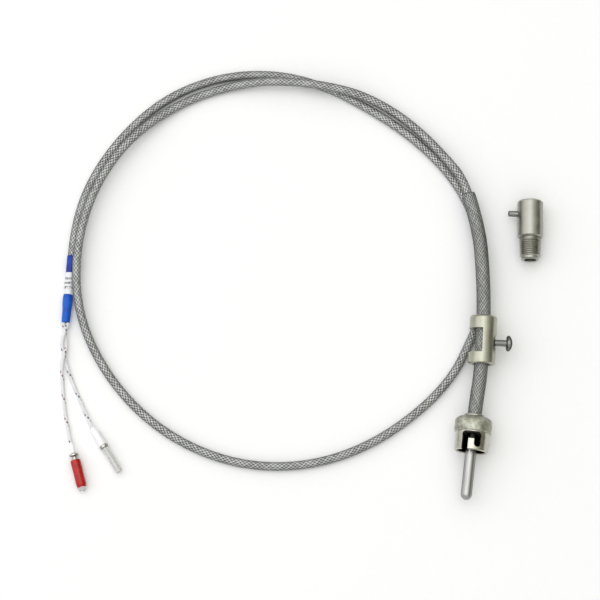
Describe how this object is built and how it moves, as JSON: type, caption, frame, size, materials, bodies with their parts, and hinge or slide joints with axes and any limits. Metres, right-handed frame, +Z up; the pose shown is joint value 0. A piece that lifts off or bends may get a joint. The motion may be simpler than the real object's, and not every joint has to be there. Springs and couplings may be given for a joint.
{
  "type": "bayonet thermocouple",
  "caption": "Bayonet-fixing thermocouple: short stem, sprung slotted cap, armoured lead with clamp collar, splayed terminals and a loose threaded pipe adapter.",
  "frame": {"origin": "on the probe stem's axis, where the stem leaves the end ferrule", "axes": "-Y along the stem towards its closed tip, +Y back along the ferrule and hose, +Z up from the surface that the part lies on, +X to the right seen from above with the tip towards the viewer"},
  "size_m": [0.2193, 0.2104, 0.017],
  "materials": {
    "stem_steel": "satin stainless steel tube with a closed domed tip",
    "thermo_alloy": "bare thermocouple alloy wire",
    "ceramic": "fired ceramic, matte white",
    "potting": "potting compound, matte",
    "nickel_plate": "nickel-plated brass, fine matte-to-bright turned finish",
    "spring_steel": "drawn stainless spring wire",
    "hose_braid": "stainless wire braid over a flexible hose",
    "lead_braid": "stainless wire braid, satin",
    "glass_fibre": "braided glass fibre insulation over two conductors",
    "blue_shrink": "glossy blue heat-shrink tube",
    "marker_white": "white marker tube, left blank",
    "red_tracer_fibre": "white glass fibre braid with a red tracer",
    "blue_tracer_fibre": "white glass fibre braid with a blue tracer",
    "terminal_metal": "tinned copper",
    "red_vinyl": "translucent red vinyl",
    "clear_plastic": "clear plastic",
    "boot_plastic": "translucent white boot",
    "screw_steel": "polished steel"
  },
  "bodies": {
    "probe": {"probe_sheath": "stem_steel", "hot_junction_bead": "thermo_alloy", "thermo_wire_positive": "thermo_alloy", "thermo_wire_negative": "thermo_alloy", "ceramic_insulators": "ceramic", "sheath_seal": "potting", "end_ferrule": "nickel_plate", "spring_seat_ring": "nickel_plate", "stop_ring": "nickel_plate", "thrust_spring": "spring_steel", "armour_hose": "hose_braid", "lead_braid_in_hose": "lead_braid", "lead_core_in_hose": "glass_fibre", "lead_braid": "lead_braid", "lead_core": "glass_fibre", "splice_core": "potting", "heat_shrink_sleeve": "blue_shrink", "marker_sleeve": "marker_white", "wire_positive": "red_tracer_fibre", "wire_negative": "blue_tracer_fibre", "positive_crimp_ring": "terminal_metal", "positive_terminal": "terminal_metal", "positive_sleeve": "red_vinyl", "positive_tip": "clear_plastic", "negative_boot": "boot_plastic", "negative_crimp_ring": "terminal_metal", "negative_terminal": "terminal_metal", "negative_sleeve": "clear_plastic"},
    "cap_thrust": {"thrust_washer": "nickel_plate"},
    "cap": {"bayonet_cap": "nickel_plate"},
    "collar": {"clamp_collar": "nickel_plate"},
    "screw_shank": {"thumb_screw_shank": "screw_steel"},
    "screw_head": {"thumb_screw_head": "screw_steel"},
    "adapter": {"adapter_body": "nickel_plate", "adapter_pin": "nickel_plate"}
  },
  "joints": [
    {"name": "cap_press", "type": "slide", "parent": "probe", "child": "cap_thrust", "axis": [0, -1, 0], "range_m": [0, 0.002], "stiffness_N_per_m": 1500, "springref_m": -0.002, "deforming": ["thrust_spring"]},
    {"name": "cap_spin", "type": "hinge", "parent": "cap_thrust", "child": "cap", "pos_m": [0, 0, 0], "axis": [0, 1, 0], "continuous": true},
    {"name": "collar_slide", "type": "slide", "parent": "probe", "child": "collar", "axis": [-0.0618, 0.9962, 0.0618], "range_m": [-0.008, 0.002]},
    {"name": "thumb_screw_travel", "type": "slide", "parent": "collar", "child": "screw_shank", "axis": [0.9981, 0.062, 0], "range_m": [0, 0.0025]},
    {"name": "thumb_screw_turn", "type": "hinge", "parent": "screw_shank", "child": "screw_head", "pos_m": [-0.00004, 0.0426, 0.00164], "axis": [0.9981, 0.062, 0], "range_deg": [0, 1800]},
    {"name": "adapter_lift", "type": "slide", "parent": "probe", "child": "adapter", "axis": [0, 0, 1], "range_m": [0, 0.06]}
  ],
  "couplings": [
    {"joint": "thumb_screw_turn", "follows": "thumb_screw_travel", "rad_per_m": 12566}
  ]
}
